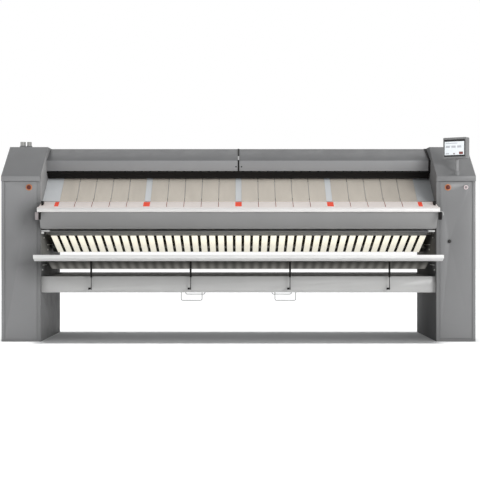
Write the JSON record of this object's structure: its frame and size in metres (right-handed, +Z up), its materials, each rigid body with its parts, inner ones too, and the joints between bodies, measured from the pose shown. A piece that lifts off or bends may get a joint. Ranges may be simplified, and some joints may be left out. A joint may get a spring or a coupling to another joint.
{
  "type": "flatwork ironer",
  "caption": "Wide steam-heated flatwork ironer with side cabinets, feed belts, narrow ironing belts, a hood, a sprung receiving shelf and a swivelling screen.",
  "frame": {"origin": "middle of the floor area under the machine", "axes": "+X to the operator's right along the roll, +Y from the operator's side to the back, +Z up"},
  "size_m": [4.12, 1.475, 1.792],
  "materials": {
    "cabinet_paint": "satin light grey powder coat",
    "cover_paint": "satin mid grey powder coat",
    "frame_paint": "satin grey paint on steel plate and tube",
    "hood_paint": "satin grey powder coat",
    "white_paint": "satin off-white powder coat",
    "black_paint": "satin black paint",
    "polished_steel": "ground and polished carbon steel",
    "stainless": "fine brushed stainless steel",
    "cast_metal": "painted cast iron",
    "ironing_fabric": "woven heat-proof cream belting",
    "feed_fabric": "woven grey-beige belting",
    "rubber": "matt black rubber",
    "black_plastic": "matt black plastic",
    "red_plastic": "semi-gloss red plastic",
    "screen_plastic": "matt grey plastic"
  },
  "bodies": {
    "machine": {"side_frame_left": "frame_paint", "side_frame_right": "frame_paint", "cabinet_shell_left": "cabinet_paint", "cabinet_shell_right": "cabinet_paint", "top_cover_left": "cover_paint", "top_cover_right": "cover_paint", "front_panel_left": "cabinet_paint", "rear_panel": "cabinet_paint", "hood_left": "hood_paint", "hood_right": "hood_paint", "hood_joint_strip": "black_paint", "roll_bearing_left": "cast_metal", "roll_bearing_right": "cast_metal", "gear_motor": "cast_metal", "feed_drive_belt": "rubber", "steam_joint": "cast_metal", "steam_inlet_pipe": "stainless", "condensate_pipe": "stainless", "ironing_belts": "ironing_fabric", "feed_bed": "stainless", "feed_belts_1": "feed_fabric", "feed_belts_2": "feed_fabric", "feed_belts_3": "feed_fabric", "feed_belts_4": "feed_fabric", "feed_nose": "white_paint", "apron": "hood_paint", "bar_end_cap_left": "black_plastic", "bar_end_cap_right": "black_plastic", "exit_chute": "hood_paint", "guide_sheet": "stainless", "collecting_tray": "white_paint", "wire_rack_left": "stainless", "wire_rack_right": "stainless"},
    "roll": {"heated_roll": "polished_steel", "roll_pulley": "cast_metal"},
    "infeed_roller": {"infeed_roller": "stainless"},
    "exit_roller": {"exit_roller": "stainless"},
    "lower_belt_roller": {"lower_belt_roller": "stainless"},
    "rear_lower_roller": {"rear_lower_roller": "stainless"},
    "rear_upper_roller": {"rear_upper_roller": "stainless"},
    "feed_roller_front": {"feed_roller_front": "stainless"},
    "feed_roller_back": {"feed_roller_back": "stainless"},
    "finger_guard": {"finger_guard": "black_paint"},
    "shelf": {"receiving_shelf": "white_paint"},
    "door": {"front_door_right": "cabinet_paint"},
    "estop_right": {"estop_right": "red_plastic"},
    "start_button": {"start_button": "black_plastic"},
    "door_lock": {"door_lock": "black_plastic"},
    "estop_left": {"estop_left": "red_plastic"},
    "screen_post": {"screen_post": "cabinet_paint"},
    "screen": {"screen_housing": "screen_plastic"},
    "strut_cylinder_1": {"strut_cylinder_1": "black_paint"},
    "strut_rod_1": {"strut_rod_1": "stainless"},
    "strut_cylinder_2": {"strut_cylinder_2": "black_paint"},
    "strut_rod_2": {"strut_rod_2": "stainless"},
    "strut_cylinder_3": {"strut_cylinder_3": "black_paint"},
    "strut_rod_3": {"strut_rod_3": "stainless"},
    "strut_cylinder_4": {"strut_cylinder_4": "black_paint"},
    "strut_rod_4": {"strut_rod_4": "stainless"}
  },
  "joints": [
    {"name": "roll_spin", "type": "hinge", "parent": "machine", "child": "roll", "pos_m": [0, 0.2525, 1.29], "axis": [-1, 0, 0], "continuous": true},
    {"name": "infeed_roller_spin", "type": "hinge", "parent": "machine", "child": "infeed_roller", "pos_m": [0, 0.05276, 1.5895], "axis": [-1, 0, 0], "continuous": true},
    {"name": "exit_roller_spin", "type": "hinge", "parent": "machine", "child": "exit_roller", "pos_m": [0, -0.3125, 0.972], "axis": [-1, 0, 0], "continuous": true},
    {"name": "lower_belt_roller_spin", "type": "hinge", "parent": "machine", "child": "lower_belt_roller", "pos_m": [0, 0.1695, 0.821], "axis": [-1, 0, 0], "continuous": true},
    {"name": "rear_lower_roller_spin", "type": "hinge", "parent": "machine", "child": "rear_lower_roller", "pos_m": [0, 0.6575, 0.9], "axis": [-1, 0, 0], "continuous": true},
    {"name": "rear_upper_roller_spin", "type": "hinge", "parent": "machine", "child": "rear_upper_roller", "pos_m": [0, 0.6575, 1.56], "axis": [-1, 0, 0], "continuous": true},
    {"name": "feed_roller_front_spin", "type": "hinge", "parent": "machine", "child": "feed_roller_front", "pos_m": [0, -0.36129, 1.20166], "axis": [-1, 0, 0], "continuous": true},
    {"name": "feed_roller_back_spin", "type": "hinge", "parent": "machine", "child": "feed_roller_back", "pos_m": [0, -0.05289, 1.40968], "axis": [-1, 0, 0], "continuous": true},
    {"name": "finger_guard_swing", "type": "hinge", "parent": "machine", "child": "finger_guard", "pos_m": [0, -0.1335, 1.49], "axis": [1, 0, 0], "range_deg": [0, 20]},
    {"name": "shelf_tilt", "type": "hinge", "parent": "machine", "child": "shelf", "pos_m": [0, -0.1575, 0.735], "axis": [1, 0, 0], "range_deg": [0, 8], "stiffness_Nm_per_rad": 600, "springref_deg": -22.92},
    {"name": "strut_cylinder_1_pivot", "type": "hinge", "parent": "shelf", "child": "strut_cylinder_1", "pos_m": [-1.28075, -0.4995, 0.735], "axis": [1, 0, 0], "range_deg": [-9, 0.1]},
    {"name": "strut_rod_1_pivot", "type": "hinge", "parent": "machine", "child": "strut_rod_1", "pos_m": [-1.28075, -0.4995, 0.46], "axis": [1, 0, 0], "range_deg": [-1, 0.1]},
    {"name": "strut_cylinder_2_pivot", "type": "hinge", "parent": "shelf", "child": "strut_cylinder_2", "pos_m": [-0.41625, -0.4995, 0.735], "axis": [1, 0, 0], "range_deg": [-9, 0.1]},
    {"name": "strut_rod_2_pivot", "type": "hinge", "parent": "machine", "child": "strut_rod_2", "pos_m": [-0.41625, -0.4995, 0.46], "axis": [1, 0, 0], "range_deg": [-1, 0.1]},
    {"name": "strut_cylinder_3_pivot", "type": "hinge", "parent": "shelf", "child": "strut_cylinder_3", "pos_m": [0.44825, -0.4995, 0.735], "axis": [1, 0, 0], "range_deg": [-9, 0.1]},
    {"name": "strut_rod_3_pivot", "type": "hinge", "parent": "machine", "child": "strut_rod_3", "pos_m": [0.44825, -0.4995, 0.46], "axis": [1, 0, 0], "range_deg": [-1, 0.1]},
    {"name": "strut_cylinder_4_pivot", "type": "hinge", "parent": "shelf", "child": "strut_cylinder_4", "pos_m": [1.31275, -0.4995, 0.735], "axis": [1, 0, 0], "range_deg": [-9, 0.1]},
    {"name": "strut_rod_4_pivot", "type": "hinge", "parent": "machine", "child": "strut_rod_4", "pos_m": [1.31275, -0.4995, 0.46], "axis": [1, 0, 0], "range_deg": [-1, 0.1]},
    {"name": "door_swing", "type": "hinge", "parent": "machine", "child": "door", "pos_m": [2.02, -0.4995, 0.7], "axis": [0, 0, 1], "range_deg": [0, 110]},
    {"name": "estop_right_press", "type": "slide", "parent": "door", "child": "estop_right", "axis": [0, 1, 0], "range_m": [0, 0.005], "stiffness_N_per_m": 2500, "springref_m": -0.002},
    {"name": "start_button_press", "type": "slide", "parent": "door", "child": "start_button", "axis": [0, 1, 0], "range_m": [0, 0.003], "stiffness_N_per_m": 1200, "springref_m": -0.001},
    {"name": "door_lock_turn", "type": "hinge", "parent": "door", "child": "door_lock", "pos_m": [1.833, -0.5075, 0.871], "axis": [0, 1, 0], "range_deg": [0, 90]},
    {"name": "estop_left_press", "type": "slide", "parent": "machine", "child": "estop_left", "axis": [0, 1, 0], "range_m": [0, 0.005], "stiffness_N_per_m": 2500, "springref_m": -0.002},
    {"name": "screen_post_turn", "type": "hinge", "parent": "machine", "child": "screen_post", "pos_m": [1.902, -0.4925, 1.52], "axis": [0, 0, 1], "range_deg": [-50, 60]},
    {"name": "screen_tilt", "type": "hinge", "parent": "screen_post", "child": "screen", "pos_m": [1.902, -0.4925, 1.614], "axis": [0.829, -0.5592, 0], "range_deg": [-12, 12]}
  ],
  "couplings": [
    {"joint": "infeed_roller_spin", "follows": "roll_spin", "ratio": -5.4086},
    {"joint": "exit_roller_spin", "follows": "roll_spin", "ratio": -5.4086},
    {"joint": "lower_belt_roller_spin", "follows": "roll_spin", "ratio": -5.4086},
    {"joint": "rear_lower_roller_spin", "follows": "roll_spin", "ratio": -5.4086},
    {"joint": "rear_upper_roller_spin", "follows": "roll_spin", "ratio": -5.4086},
    {"joint": "feed_roller_front_spin", "follows": "roll_spin", "ratio": 7.5758},
    {"joint": "feed_roller_back_spin", "follows": "roll_spin", "ratio": 7.5758},
    {"joint": "strut_cylinder_1_pivot", "follows": "shelf_tilt", "ratio": -1.105},
    {"joint": "strut_rod_1_pivot", "follows": "shelf_tilt", "ratio": -0.105},
    {"joint": "strut_cylinder_2_pivot", "follows": "shelf_tilt", "ratio": -1.105},
    {"joint": "strut_rod_2_pivot", "follows": "shelf_tilt", "ratio": -0.105},
    {"joint": "strut_cylinder_3_pivot", "follows": "shelf_tilt", "ratio": -1.105},
    {"joint": "strut_rod_3_pivot", "follows": "shelf_tilt", "ratio": -0.105},
    {"joint": "strut_cylinder_4_pivot", "follows": "shelf_tilt", "ratio": -1.105},
    {"joint": "strut_rod_4_pivot", "follows": "shelf_tilt", "ratio": -0.105}
  ]
}
